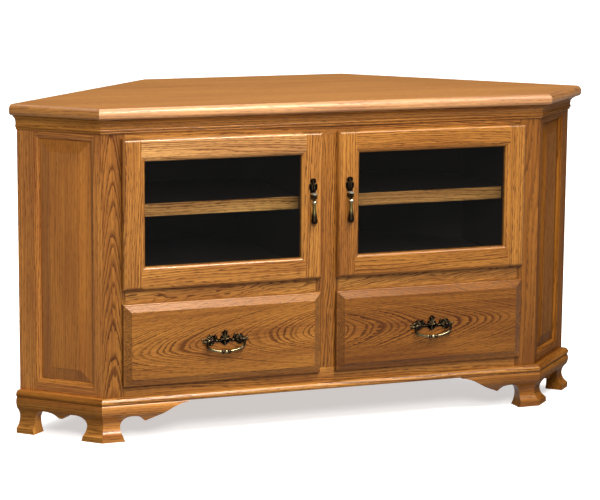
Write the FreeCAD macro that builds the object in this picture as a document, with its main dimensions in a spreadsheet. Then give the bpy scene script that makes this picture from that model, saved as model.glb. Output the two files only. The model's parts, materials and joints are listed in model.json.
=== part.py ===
# Corner television cabinet in oak: two glazed doors over two drawers, on ogee bracket feet.
# The front looks along -Y, X runs to the right and the floor is at zero height.
import FreeCAD
import Part
import Sketcher
import os
import re

Vector = FreeCAD.Vector

doc = FreeCAD.newDocument("CornerCabinet")

# Driving dimensions, in millimetres
sizes = {
    # carcass plan: front between its corners, slanted ends, narrow back
    "front_half_width": 580,
    "end_length": 232,
    "back_half_width": 283,
    # heights from the floor up
    "cabinet_height": 813,
    "foot_height": 91,
    "base_height": 16,
    "bottom_reveal": 26,
    "drawer_height": 204,
    "middle_reveal": 35,
    "top_reveal": 11.5,
    # top
    "top_thickness": 26.5,
    "top_overhang": 35,
    "nose_radius": 13.5,
    "under_radius": 9,
    # mouldings and feet
    "crown_height": 37,
    "crown_projection": 19,
    "base_projection": 20,
    "foot_projection": 20,
    "foot_thickness": 46,
    "bracket_length": 221,
    "rear_foot_width": 70,
    "rear_foot_inset": 12,
    # face frame and end frames
    "frame_thickness": 20,
    "overlay": 10,
    "centre_reveal": 42,
    "end_reveal": 48,
    "end_front_stile": 32,
    "end_back_stile": 58,
    "end_bottom_rail": 49,
    "end_top_rail": 57,
    "groove_depth": 6,
    "groove_width": 6,
    "panel_bevel": 30,
    "panel_rise": 6.5,
    "field_step": 1,
    # moulded inner edge of frames and doors
    "stick_width": 10,
    "stick_quirk": 1.5,
    "stick_depth": 8,
    "stick_lip": 1,
    # boards of the carcass
    "panel_thickness": 18,
    "wall_thickness": 12,
    "bay_set_back": 12,
    "slot_width": 110,
    "slot_height": 50,
    "slot_centre": 150,
    "slot_lift": 118,
    # shelves
    "shelf_set_back": 120,
    "shelf_depth": 360,
    "shelf_thickness": 19,
    "shelf_lift": 158,
    "shelf_clearance": 1,
    "edging_depth": 20,
    "edging_height": 32,
    "pin_length": 16,
    "pin_radius": 2.5,
    "pin_set_back": 40,
    # doors
    "door_thickness": 20,
    "door_gap": 2,
    "stile_width": 55,
    "door_round": 9,
    "rebate_width": 9,
    "glass_thickness": 4,
    "glass_clearance": 1,
    # concealed hinges
    "hinge_inset": 70,
    "cup_radius": 17.5,
    "cup_wall": 0.8,
    "cup_depth": 13,
    "cup_tab": 3.5,
    "hinge_pin": 1.5,
    "hinge_play": 0.05,
    "eye_wall": 1.45,
    "eye_clearance": 0.75,
    "arm_reach": 11.5,
    "arm_thickness": 2,
    "arm_width": 8,
    "arm_set_back": 6,
    "arm_plate": 40,
    "arm_end": 2,
    "edge_relief": 2.8,
    # drawers
    "front_edge": 11,
    "front_round": 4,
    "front_bevel": 15,
    "box_lift": 8,
    "box_headroom": 26,
    "box_depth": 300,
    "box_side": 12,
    "box_bottom": 6,
    "bottom_lift": 12,
    # three-member slides
    "slide_thickness": 12.7,
    "slide_half_height": 22.5,
    "slide_sheet": 1.5,
    "slide_gap": 0.4,
    "slide_set_back": 3,
    "slide_rear_gap": 34,
    "spacer_height": 60,
    # batwing pulls
    "pull_width": 114,
    "pull_height": 38,
    "pull_lift": 3,
    "plate_thickness": 2.5,
    "post_spacing": 75,
    "post_reach": 12,
    "post_head": 6,
    "post_stem": 3.2,
    "post_foot": 1.5,
    "bail_radius": 2.9,
    "bail_reach": 4.5,
    "bail_bend": 4,
    "bail_arm": 5,
    "bail_corner": 14,
    "bail_slope": 20,
    "bail_entry": 4.5,
    "bead_length": 24,
    "bead_radius": 4.8,
    "pull_play": 0.05,
    # drop pulls
    "drop_plate_width": 21,
    "drop_plate_height": 50,
    "drop_plate_rise": 70,
    "drop_reach": 9,
    "drop_pin": 1.6,
    "drop_eye": 4.6,
    "drop_eye_width": 6,
    "drop_length": 68,
    "drop_radius": 8.3,
    "ear_gap": 0.3,
    "ear_thickness": 2.5,
    "canopy_radius": 7.5,
    "canopy_height": 3,
    "canopy_lift": 6,
    # how far a cutting shape runs past the wood
    "cut_overrun": 60,
}

# Sizes and places worked out from them. Heights are from the floor, depths from the face frame.
worked = {
    "slant_share": "1/sqrt(2)",
    "mitre_share": "sqrt(2) - 1",
    "side_depth": "end_length*slant_share",
    "side_half_width": "front_half_width + side_depth",
    "wall_run": "side_half_width - back_half_width",
    "wall_length": "wall_run*sqrt(2)",
    "carcass_depth": "side_depth + wall_run",
    "inner_front": "front_half_width - frame_thickness*mitre_share",
    "inner_end": "(end_length - wall_thickness)*slant_share",
    "inner_cheek": "frame_thickness*slant_share",
    "inner_side": "front_half_width + inner_end - inner_cheek",
    "inner_side_depth": "inner_end + inner_cheek",
    "inner_back": "back_half_width - wall_thickness*mitre_share",
    "inner_depth": "carcass_depth - wall_thickness",
    "top_z": "cabinet_height - top_thickness",
    "crown_z": "top_z - crown_height",
    "drawer_z": "foot_height + base_height + bottom_reveal",
    "drawer_top": "drawer_z + drawer_height",
    "door_z": "drawer_top + middle_reveal",
    "door_top": "crown_z - top_reveal",
    "door_height": "door_top - door_z",
    "door_in": "centre_reveal/2",
    "door_out": "front_half_width - end_reveal",
    "door_width": "door_out - door_in",
    "door_back": "-door_gap",
    "door_front": "door_back - door_thickness",
    "opening_in": "door_in + overlay",
    "opening_out": "door_out - overlay",
    "lower_floor": "drawer_z + overlay",
    "lower_head": "drawer_top - overlay",
    "upper_floor": "door_z + overlay",
    "upper_head": "door_top - overlay",
    "bay_out": "opening_out + bay_set_back",
    "bay_depth": "inner_side_depth + inner_side - bay_out",
    "lip_depth": "stick_depth + stick_lip",
    "rebate_y": "door_front + lip_depth",
    "glass_in": "door_in + stile_width",
    "glass_out": "door_out - stile_width",
    "glass_z": "door_z + stile_width",
    "glass_top": "door_top - stile_width",
    "shelf_z": "upper_floor + shelf_lift",
    "cup_x": "-(door_out - cup_tab - cup_radius)",
    "eye_radius": "hinge_pin + eye_wall",
    "eye_inset": "eye_clearance + eye_radius",
    "hinge_x": "cup_x - sqrt((cup_radius - cup_wall)^2 - (arm_width/2)^2) + eye_inset",
    "hinge_y": "door_back - cup_depth + cup_wall + eye_inset",
    "box_out": "opening_out - slide_thickness",
    "box_in": "opening_in + slide_thickness",
    "box_z": "lower_floor + box_lift",
    "box_height": "lower_head - box_headroom - box_z",
    "slide_z": "box_z + box_height/2",
    "slide_y": "frame_thickness + slide_set_back",
    "slide_length": "bay_depth - slide_rear_gap - slide_y",
    "pull_x": "-(door_in + door_width/2)",
    "pull_z": "drawer_z + drawer_height/2 + pull_lift",
    "plate_y": "door_front - plate_thickness",
    "post_y": "door_front - post_reach",
    "post_half": "post_spacing/2",
    "bail_half": "post_half + post_head + bail_reach",
    "bail_turn": "(90 - bail_slope)/2",
    "bail_inner": "bail_half - bail_corner",
    "bail_join": "bail_inner + bail_corner*sin(bail_slope)",
    "bail_join_drop": "bail_bend + bail_arm + bail_corner*cos(bail_slope)",
    "bail_drop": "bail_join_drop + bail_join*(1 - cos(bail_slope))/sin(bail_slope)",
    "drop_x": "-(door_in + stile_width/2)",
    "drop_top": "door_z + door_height/2 + drop_plate_rise",
    "drop_z": "drop_top - drop_plate_height + drop_eye",
    "drop_y": "plate_y - drop_reach",
    "front_reach": "max(post_head - post_y; drop_radius - drop_y)",
    "face_y": "(front_reach - carcass_depth)/2",
}

# Outlines as shares, outward or along first, then upward. Four shares are an arc: through, then to.
crown_shares = [
    (0, 0),
    (0.11, 0),
    (0.27, 0.08, 0.17, 0.16),
    (0.41, 0.245, 0.30, 0.325),
    (0.32, 0.38),
    (0.49, 0.72, 0.94, 0.88),
    (1, 0.89),
    (1, 1),
    (0, 1),
]
base_shares = [
    (0, 0),
    (0.85, 0),
    (1, 0.36, 0.86, 0.72),
    (0.70, 0.93, 0.42, 1),
    (0, 1),
]
ogee_shares = [
    (1, 0),
    (1, 0.15),
    (0.36, 0.265, 0.13, 0.42),
    (0.22, 0.53, 0.48, 0.63),
    (0.86, 0.73, 1, 0.85),
    (0.97, 0.935, 0.80, 1),
]
front_scroll_shares = [
    (0.267, 0),
    (0.235, 0.176, 0.226, 0.374),
    (0.272, 0.593, 0.371, 0.66),
    (0.443, 0.626, 0.498, 0.516),
    (0.520, 0.489, 0.543, 0.516),
    (0.656, 0.62, 0.769, 0.77),
    (0.891, 0.912, 1, 0.967),
    (1, 1),
]
end_scroll_shares = [
    (0.431, 0),
    (0.388, 0.176, 0.371, 0.374),
    (0.457, 0.593, 0.647, 0.66),
    (0.802, 0.626, 0.931, 0.511),
]
end_scroll_tip_share = 0.489
batwing_shares = [
    (0, 0.61),
    (0.06, 0.56, 0.07, 0.49),
    (0.17, 0.47),
    (0.10, 0.36, 0.12, 0.27),
    (0.20, 0.17, 0.20, 0.08),
    (0.27, 0.02, 0.33, 0.04),
    (0.37, 0.20, 0.44, 0.37),
    (0.47, 0.30, 0.53, 0.27),
    (0.66, 0.34, 0.79, 0.25),
    (0.87, 0.10, 0.91, -0.06),
    (1, -0.18),
    (0.92, -0.21, 0.86, -0.19),
    (0.66, -0.36, 0.49, -0.20),
    (0.40, -0.14, 0.33, -0.15),
    (0.25, -0.14, 0.19, -0.19),
    (0.11, -0.30, 0, -0.39),
]
spade_shares = [
    (0, 1),
    (0.52, 0.965, 0.72, 0.885),
    (0.68, 0.80, 0.48, 0.765),
    (0.88, 0.72, 1, 0.61),
    (0.95, 0.47, 0.66, 0.36),
    (0.66, 0),
]
drop_shares = [
    (0.34, -0.02),
    (0.34, -0.135),
    (0.62, -0.14),
    (0.86, -0.185, 0.62, -0.23),
    (0.46, -0.26),
    (0.42, -0.37, 0.50, -0.48),
]
ovolo_across_share = 0.59
ovolo_down_share = 0.285
near_share = 0.001  # of the height, to tell edges at one level from the rest
end_turn = 135  # degrees from the front to the left end


# Sheets and expressions
word = re.compile(r"[a-z][a-z0-9_]*")


def full(text, own_sheet=False):
    """The expression with each named size tied to its sheet."""

    def tie(match):
        name = match.group()
        if name in sizes:
            return "Sizes." + name
        if name in worked and not own_sheet:
            return "Worked." + name
        return name

    return word.sub(tie, str(text))


def fill_sheet(name, cells):
    sheet = doc.addObject("Spreadsheet::Sheet", name)
    for row, (alias, content) in enumerate(cells.items(), start=1):
        sheet.set("A%d" % row, alias)
        sheet.set("B%d" % row, content)
        sheet.setAlias("B%d" % row, alias)
    doc.recompute()
    return sheet


size_sheet = fill_sheet("Sizes", {name: str(size) for name, size in sizes.items()})
fill_sheet("Worked", {name: "=" + full(text, True) for name, text in worked.items()})


def value(text):
    return float(size_sheet.evalExpression(full(text)))


def bind(thing, bindings):
    for target, text in bindings.items():
        thing.setExpression(target, full(text))


def settle(thing, frame="front", spot=("0", "0", "0")):
    """Puts a piece in the front's frame, or in the left end's: along the end, outward, up."""
    along, depth, up = spot
    if frame == "end":
        thing.Placement = FreeCAD.Placement(Vector(), FreeCAD.Rotation(Vector(0, 0, 1), end_turn))
        along = "-front_half_width"
    bind(thing, {
        "Placement.Base.x": along,
        "Placement.Base.y": "face_y + " + depth,
        "Placement.Base.z": up,
    })


# Sketches
def flat(pair):
    return Vector(value(pair[0]), value(pair[1]), 0)


def draw(sketch, outline, closed=True):
    """Lines and arcs through the outline's points, each held by its own expressions."""
    corners = outline if closed else outline[1:]
    ends = [corner[-2:] for corner in outline]
    starts = ends[-1:] + ends[:-1] if closed else ends[:-1]
    shapes = []
    for start, corner in zip(starts, corners):
        if len(corner) == 4:
            shapes.append(Part.Arc(flat(start), flat(corner[:2]), flat(corner[2:])))
        else:
            shapes.append(Part.LineSegment(flat(start), flat(corner)))
    edges = list(sketch.addGeometry(shapes))

    def end_at(edge, pair):
        spot = flat(pair)
        return min((1, 2), key=lambda end: sketch.getPoint(edge, end).distanceToPoint(spot))

    rules = []
    texts = []

    def hold(geometry, end, pair):
        for kind, text in zip(("DistanceX", "DistanceY"), pair):
            rules.append(Sketcher.Constraint(kind, -1, 1, geometry, end, value(text)))
            texts.append(text)

    if not closed:
        hold(edges[0], end_at(edges[0], starts[0]), starts[0])
    for i, corner in enumerate(corners):
        far = end_at(edges[i], corner[-2:])
        hold(edges[i], far, corner[-2:])
        if closed or i + 1 < len(corners):
            following = edges[(i + 1) % len(edges)]
            near = end_at(following, corner[-2:])
            rules.append(Sketcher.Constraint("Coincident", edges[i], far, following, near))
            texts.append(None)
        if len(corner) == 4:
            through = sketch.addGeometry(Part.Point(flat(corner[:2])), True)
            hold(through, 1, corner[:2])
            rules.append(Sketcher.Constraint("PointOnObject", through, 1, edges[i]))
            texts.append(None)
    for index, text in zip(sketch.addConstraint(rules), texts):
        if text is not None and word.search(str(text)):
            sketch.setExpression("Constraints[%d]" % index, full(text))


def add_sketch(body, plane, outline, start="0", closed=True):
    sketch = body.newObject("Sketcher::SketchObject", body.Name + "_sketch")
    support = next(part for part in body.Origin.OriginFeatures if part.Role == plane + "_Plane")
    sketch.AttachmentSupport = (support, [""])
    sketch.MapMode = "FlatFace"
    bind(sketch, {"AttachmentOffset.Base.z": "-(%s)" % start if plane == "XZ" else start})
    draw(sketch, outline, closed)
    return sketch


# Ways of making a piece
def profile(name, plane, outline, depth, start="0", frame="front", spot=("0", "0", "0")):
    """A sketched section, padded along the plane's remaining axis from start."""
    body = doc.addObject("PartDesign::Body", name)
    sketch = add_sketch(body, plane, outline, start)
    pad = body.newObject("PartDesign::Pad", name + "_pad")
    pad.Profile = sketch
    pad.Reversed = plane == "XZ"
    bind(pad, {"Length": depth})
    settle(body, frame, spot)
    return body


def turned(name, plane, outline, axis, spot):
    """A turned piece: half its section, revolved about the sketch's own axis."""
    body = doc.addObject("PartDesign::Body", name)
    sketch = add_sketch(body, plane, outline)
    turning = body.newObject("PartDesign::Revolution", name + "_turning")
    turning.Profile = sketch
    turning.ReferenceAxis = (sketch, [axis])
    settle(body, "front", spot)
    return body


def board(name, across, depth, up):
    """A plain board. Each direction is a pair: where it starts, and its size."""
    box = doc.addObject("Part::Box", name)
    bind(box, {"Length": across[1], "Width": depth[1], "Height": up[1]})
    settle(box, "front", (across[0], depth[0], up[0]))
    return box


rod_turns = {
    "X": FreeCAD.Rotation(Vector(0, 1, 0), 90),
    "Y": FreeCAD.Rotation(Vector(1, 0, 0), -90),
    "Z": FreeCAD.Rotation(),
}


def rod(name, axis, radius, length, spot):
    cylinder = doc.addObject("Part::Cylinder", name)
    cylinder.Placement = FreeCAD.Placement(Vector(), rod_turns[axis])
    bind(cylinder, {"Radius": radius, "Height": length})
    settle(cylinder, "front", spot)
    return cylinder


def bevelled(name, low, high, frame="front"):
    """A tapered block between two rectangles: (depth, left, right, bottom, top) each."""
    wedge = doc.addObject("Part::Wedge", name)
    bind(wedge, dict(zip(("Ymin", "Xmin", "Xmax", "Zmin", "Zmax"), low)))
    bind(wedge, dict(zip(("Ymax", "X2min", "X2max", "Z2min", "Z2max"), high)))
    settle(wedge, frame)
    return wedge


def cut(name, base, *tools):
    for count, tool in enumerate(tools):
        result = doc.addObject("Part::Cut", "%s_cut%d" % (name, count))
        result.Base = base
        result.Tool = tool
        base = result
    return base


def common(name, base, tool):
    result = doc.addObject("Part::Common", name)
    result.Base = base
    result.Tool = tool
    return result


def fuse(name, *things):
    result = doc.addObject("Part::MultiFuse", name)
    result.Shapes = list(things)
    result.Refine = True
    return result


def group(name, *things):
    result = doc.addObject("Part::Compound", name)
    result.Links = list(things)
    return result


def mirrored(name, thing, at="0"):
    """The same piece on the other side of the plane across X at the given place."""
    result = doc.addObject("Part::Mirroring", name)
    result.Source = thing
    result.Normal = Vector(1, 0, 0)
    bind(result, {"Base.x": at})
    return result


def pair(name, thing, at="0"):
    return group(name, thing, mirrored(name + "_other", thing, at))


def round_edges(body, radius, pick):
    """Rounds the edges of the body's last feature whose middle the test picks."""
    doc.recompute()
    base = body.Tip
    names = ["Edge%d" % (i + 1) for i, edge in enumerate(base.Shape.Edges) if pick(edge.CenterOfMass)]
    fillet = body.newObject("PartDesign::Fillet", body.Name + "_round")
    fillet.Base = (base, names)
    bind(fillet, {"Radius": radius})


nodes = {}


def keep(label, thing):
    thing.Label = label
    nodes[label] = thing
    return thing


def keep_both(name, thing):
    """Keeps a left-hand piece and its right-hand twin as two nodes."""
    keep("right_" + name, mirrored("right_" + name, thing))
    return keep("left_" + name, thing)


def plus(base, length, share):
    return "%s + %s*%s" % (base, length, share)


# Shapes that cut the mitres at the front corners: waste beyond the front, waste beyond the end
mitre_reach = "cut_overrun*mitre_share"
front_waste = profile(
    "front_waste",
    "XY",
    [
        ("-front_half_width - " + mitre_reach, "-cut_overrun"),
        ("-front_half_width + " + mitre_reach, "cut_overrun"),
        ("-front_half_width - 3*cut_overrun", "cut_overrun"),
        ("-front_half_width - 3*cut_overrun", "-cut_overrun"),
    ],
    "cabinet_height + 2*cut_overrun",
    "-cut_overrun",
)
front_waste_right = mirrored("front_waste_right", front_waste)
end_waste = profile(
    "end_waste",
    "XY",
    [
        ("-" + mitre_reach, "cut_overrun"),
        (mitre_reach, "-cut_overrun"),
        ("-3*cut_overrun", "-cut_overrun"),
        ("-3*cut_overrun", "cut_overrun"),
    ],
    "cabinet_height + 2*cut_overrun",
    "-cut_overrun",
    "end",
)


# Top panel: overhangs the front and the ends, flush along the walls
def make_top():
    half = [
        ("front_half_width + top_overhang*mitre_share", "-top_overhang"),
        ("side_half_width + top_overhang*slant_share", "side_depth - top_overhang*slant_share"),
        ("back_half_width", "carcass_depth"),
    ]
    outline = half + [("-(%s)" % x, y) for x, y in reversed(half)]
    top = profile("top_panel", "XY", outline, "top_thickness", "top_z")
    upper = value("cabinet_height")
    lower = value("top_z")
    visible = value("side_depth")
    near = upper * near_share
    round_edges(top, "nose_radius", lambda spot: abs(spot.z - upper) < near and spot.y < visible)
    round_edges(top, "under_radius", lambda spot: abs(spot.z - lower) < near and spot.y < visible)
    keep("top_panel", top)


# Mouldings run along the front and both ends, mitred at the front corners
def section(shares, projection, height, base, outward):
    outline = []
    for corner in shares:
        steps = []
        for out, up in zip(corner[0::2], corner[1::2]):
            steps += ["%s*%s*%s" % (outward, out, projection), plus(base, height, up)]
        outline.append(tuple(steps))
    return outline


def front_run(name, outline):
    run = "front_half_width + cut_overrun"
    length = profile(name + "_front", "YZ", outline, "2*(%s)" % run, "-(%s)" % run)
    return cut(name + "_front", length, front_waste, front_waste_right)


def end_run(name, outline):
    length = profile(name + "_end", "YZ", outline, "end_length + cut_overrun", "-cut_overrun", "end")
    return cut(name + "_end", length, end_waste)


def make_mouldings():
    for name, shares, projection, height, base in (
        ("crown_moulding", crown_shares, "crown_projection", "crown_height", "crown_z"),
        ("base_moulding", base_shares, "base_projection", "base_height", "foot_height"),
    ):
        front = front_run(name, section(shares, projection, height, base, "-1"))
        end = end_run(name, section(shares, projection, height, base, "1"))
        keep(name + "_front", front)
        keep(name + "_sides", pair(name + "_sides", end))


# Bracket feet: an ogee section, sawn to a scrolled outline
def ogee(outward):
    inner = "%s*(foot_projection - foot_thickness)" % outward
    outline = section(ogee_shares, "foot_projection", "foot_height", "0", outward)
    return [(inner, "0")] + outline + [(inner, "foot_height")]


def scroll(shares, start, length):
    outline = []
    for corner in shares:
        steps = []
        for along, up in zip(corner[0::2], corner[1::2]):
            steps += [plus(start, length, along), plus("0", "foot_height", up)]
        outline.append(tuple(steps))
    return outline


def make_front_brackets():
    corner = "-(front_half_width + foot_projection*mitre_share)"
    saw = scroll(front_scroll_shares, corner, "bracket_length")
    saw += [(corner + " - cut_overrun", "foot_height"), (corner + " - cut_overrun", "0")]
    block = profile(
        "front_bracket",
        "YZ",
        ogee("-1"),
        "bracket_length + cut_overrun",
        corner + " - cut_overrun",
    )
    sawn = profile("front_scroll", "XZ", saw, "2*cut_overrun + foot_thickness", "-cut_overrun")
    bracket = cut("front_bracket", common("front_bracket_sawn", block, sawn), front_waste)
    keep("front_brackets", pair("front_brackets", bracket))


def make_side_brackets():
    half = scroll(end_scroll_shares, "0", "end_length/2")
    far = scroll([(2 - c[-2], c[-1]) for c in end_scroll_shares], "0", "end_length/2")
    middles = scroll([(2 - c[0], c[1]) for c in end_scroll_shares], "0", "end_length/2")
    saw = half + [("end_length/2", plus("0", "foot_height", end_scroll_tip_share)) + far[-1]]
    for index in range(len(end_scroll_shares) - 1, 0, -1):
        saw.append(middles[index] + far[index - 1])
    saw += [("end_length + cut_overrun", "0"), ("end_length + cut_overrun", "foot_height")]
    saw += [("-cut_overrun", "foot_height"), ("-cut_overrun", "0")]
    block = end_run("side_bracket", ogee("1"))
    depth = "2*cut_overrun + foot_thickness"
    sawn = profile("side_scroll", "XZ", saw, depth, "-cut_overrun - foot_thickness", "end")
    keep("side_brackets", pair("side_brackets", common("side_bracket_sawn", block, sawn)))


def make_rear_feet():
    foot = board(
        "rear_foot",
        ("-(inner_back - rear_foot_inset)", "rear_foot_width"),
        ("inner_depth - rear_foot_inset - rear_foot_width", "rear_foot_width"),
        ("0", "lower_floor - panel_thickness"),
    )
    keep("rear_feet", pair("rear_feet", foot))


# Face frame
def make_face_frame():
    stile = [
        ("-front_half_width", "0"),
        ("-opening_out", "0"),
        ("-opening_out", "frame_thickness"),
        ("-inner_front", "frame_thickness"),
    ]
    depth = ("0", "frame_thickness")
    full_width = ("-opening_out", "2*opening_out")
    end_stile = profile("face_end_stile", "XY", stile, "top_z - foot_height", "foot_height")
    keep("face_frame_end_stiles", pair("face_frame_end_stiles", end_stile))
    top = ("upper_head", "top_z - upper_head")
    bottom = ("foot_height", "lower_floor - foot_height")
    keep("face_frame_top_rail", board("top_rail", full_width, depth, top))
    keep("face_frame_bottom_rail", board("bottom_rail", full_width, depth, bottom))
    centre = board(
        "centre_stile",
        ("-opening_in", "2*opening_in"),
        depth,
        ("lower_floor", "upper_head - lower_floor"),
    )
    keep("face_frame_centre_stile", centre)
    middle = board(
        "middle_rail",
        ("-opening_out", "opening_out - opening_in"),
        depth,
        ("lower_head", "upper_floor - lower_head"),
    )
    keep("face_frame_middle_rails", pair("face_frame_middle_rails", middle))


# Moulded inner edge of a stile or rail, from its face down to the lip
def sticking(edge, way, face, inward):
    start = "%s - %s*stick_width" % (edge, way)
    bulge_across = "%s*stick_width*%s" % (way, ovolo_across_share)
    bulge_down = "%s*(stick_quirk + %s*(stick_depth - stick_quirk))" % (inward, ovolo_down_share)
    return [
        (start, face),
        (start, "%s + %s*stick_quirk" % (face, inward)),
        (
            "%s + %s" % (start, bulge_across),
            "%s + %s" % (face, bulge_down),
            edge,
            "%s + %s*stick_depth" % (face, inward),
        ),
    ]


def on_end(outline):
    """The same section with its first and second directions exchanged, for a rail."""
    exchanged = []
    for corner in outline:
        steps = []
        for first, second in zip(corner[0::2], corner[1::2]):
            steps += [second, first]
        exchanged.append(tuple(steps))
    return exchanged


# Slanted ends: grooved frame round a raised panel
def make_ends():
    back = "-frame_thickness"
    groove_low = "-(lip_depth + groove_width)"

    def grooved(edge, way):
        foot = "%s - %s*groove_depth" % (edge, way)
        return sticking(edge, way, "0", "-1") + [
            (edge, "-lip_depth"),
            (foot, "-lip_depth"),
            (foot, groove_low),
            (edge, groove_low),
            (edge, back),
        ]

    front_edge = "end_front_stile"
    back_edge = "(end_length - end_back_stile)"
    low_edge = "(foot_height + end_bottom_rail)"
    high_edge = "(top_z - end_top_rail)"
    height = "top_z - foot_height"
    front_stile = profile(
        "end_front_stile",
        "XY",
        [("0", "0")] + grooved(front_edge, "1") + [("frame_thickness*mitre_share", back)],
        height,
        "foot_height",
        "end",
    )
    back_stile = profile(
        "end_back_stile",
        "XY",
        [("end_length", "0")] + grooved(back_edge, "-1") + [("end_length", back)],
        height,
        "foot_height",
        "end",
    )
    stiles = group("end_stiles", front_stile, back_stile)
    rails = []
    for name, outer, edge, way in (
        ("end_bottom_rail", "foot_height", low_edge, "1"),
        ("end_top_rail", "top_z", high_edge, "-1"),
    ):
        rail = profile(
            name,
            "YZ",
            on_end([(outer, "0")] + grooved(edge, way) + [(outer, back)]),
            "%s - %s + 2*stick_width" % (back_edge, front_edge),
            "%s - stick_width" % front_edge,
            "end",
        )
        rails.append(cut(name, rail, front_stile, back_stile))

    def framed(inset):
        return (
            "%s + %s" % (front_edge, inset),
            "%s - %s" % (back_edge, inset),
            "%s + %s" % (low_edge, inset),
            "%s - %s" % (high_edge, inset),
        )

    face = "-lip_depth"
    crest = "-lip_depth + panel_rise"
    let_in = framed("-groove_depth")
    tongue = bevelled("panel_tongue", (groove_low,) + let_in, (face,) + let_in, "end")
    slope = bevelled("panel_slope", (face,) + framed("0"), (crest,) + framed("panel_bevel"), "end")
    field = bevelled(
        "panel_field",
        (crest,) + framed("panel_bevel"),
        (crest + " + field_step",) + framed("panel_bevel"),
        "end",
    )
    keep_both("end_stiles", stiles)
    keep_both("end_rails", group("end_rails", *rails))
    keep_both("end_panel", fuse("end_panel", tongue, slope, field))


# Carcass boards behind the frames
def make_carcass():
    half = [
        ("inner_front", "frame_thickness"),
        ("inner_side", "inner_side_depth"),
        ("inner_back", "inner_depth"),
    ]
    deck = half + [("-" + x, y) for x, y in reversed(half)]
    for name, top in (("bottom_panel", "lower_floor"), ("middle_deck", "upper_floor")):
        keep(name, profile(name, "XY", deck, "panel_thickness", top + " - panel_thickness"))

    wall = [
        ("end_length - wall_thickness", "-frame_thickness"),
        ("end_length", "-frame_thickness"),
        ("end_length", "-wall_length"),
        ("end_length - wall_thickness", "-wall_length + wall_thickness*mitre_share"),
    ]
    wall_panel = profile("wall_panel", "XY", wall, "top_z - foot_height", "foot_height", "end")
    keep("wall_panels", pair("wall_panels", wall_panel))

    back = [
        ("-back_half_width", "carcass_depth"),
        ("back_half_width", "carcass_depth"),
        ("inner_back", "inner_depth"),
        ("-inner_back", "inner_depth"),
    ]
    slot_end = "(slot_width - slot_height)/2"
    slot_mid = "(upper_floor + slot_lift)"
    slot = profile(
        "cable_slot",
        "XZ",
        [
            ("-slot_centre + " + slot_end, slot_mid + " - slot_height/2"),
            (
                "-slot_centre + slot_width/2",
                slot_mid,
                "-slot_centre + " + slot_end,
                slot_mid + " + slot_height/2",
            ),
            ("-slot_centre - " + slot_end, slot_mid + " + slot_height/2"),
            (
                "-slot_centre - slot_width/2",
                slot_mid,
                "-slot_centre - " + slot_end,
                slot_mid + " - slot_height/2",
            ),
        ],
        "wall_thickness + 2*cut_overrun",
        "inner_depth - cut_overrun",
    )
    back_panel = profile("back_panel", "XY", back, "top_z - foot_height", "foot_height")
    keep("back_panel", cut("back_panel", back_panel, slot, mirrored("cable_slot_right", slot)))


levels = (
    ("lower", "lower_floor", "upper_floor - panel_thickness"),
    ("upper", "upper_floor", "top_z"),
)


# Shelves lie on pins in the upper bay sides and partitions
def make_bays():
    side = [
        ("-bay_out", "frame_thickness"),
        ("-bay_out", "bay_depth"),
        ("-(bay_out + panel_thickness)", "bay_depth - panel_thickness"),
        ("-(bay_out + panel_thickness)", "frame_thickness"),
    ]
    pins = []
    for depth in ("shelf_set_back + pin_set_back", "bay_depth - pin_set_back"):
        for across in ("opening_in", "bay_out"):
            spot = ("-%s - pin_length/2" % across, depth, "shelf_z - pin_radius")
            pins.append(rod("shelf_pin_%d" % len(pins), "X", "pin_radius", "pin_length", spot))
    sides = []
    partitions = []
    for level, floor, head in levels:
        bay_side = profile(level + "_bay_side", "XY", side, "%s - (%s)" % (head, floor), floor)
        partition = board(
            level + "_partition",
            ("-opening_in", "panel_thickness"),
            ("frame_thickness", "inner_depth - frame_thickness"),
            (floor, "%s - (%s)" % (head, floor)),
        )
        if level == "upper":
            bay_side = cut("upper_bay_side", bay_side, pins[1], pins[3])
            partition = cut("upper_partition", partition, pins[0], pins[2])
        sides.append(bay_side)
        partitions.append(partition)
    keep("bay_sides", pair("bay_sides", group("left_bay_sides", *sides)))
    keep("centre_partitions", pair("centre_partitions", group("left_partitions", *partitions)))
    keep("shelf_pins", pair("shelf_pins", group("left_shelf_pins", *pins)))

    left = "-(bay_out - shelf_clearance)"
    right = "-(opening_in + shelf_clearance)"
    front = "shelf_set_back"
    rear = "shelf_set_back + shelf_depth"
    clip = "%s - bay_depth" % rear
    shelf = profile(
        "shelf_board",
        "XY",
        [
            (left, front + " + edging_depth"),
            (right, front + " + edging_depth"),
            (right, rear),
            (left + " + " + clip, rear),
            (left, "bay_depth"),
        ],
        "shelf_thickness",
        "shelf_z",
    )
    edging = board(
        "shelf_edging",
        (left, "bay_out - opening_in - 2*shelf_clearance"),
        (front, "edging_depth"),
        ("shelf_z + shelf_thickness - edging_height", "edging_height"),
    )
    keep_both("shelf", group("shelf", shelf, edging))


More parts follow.
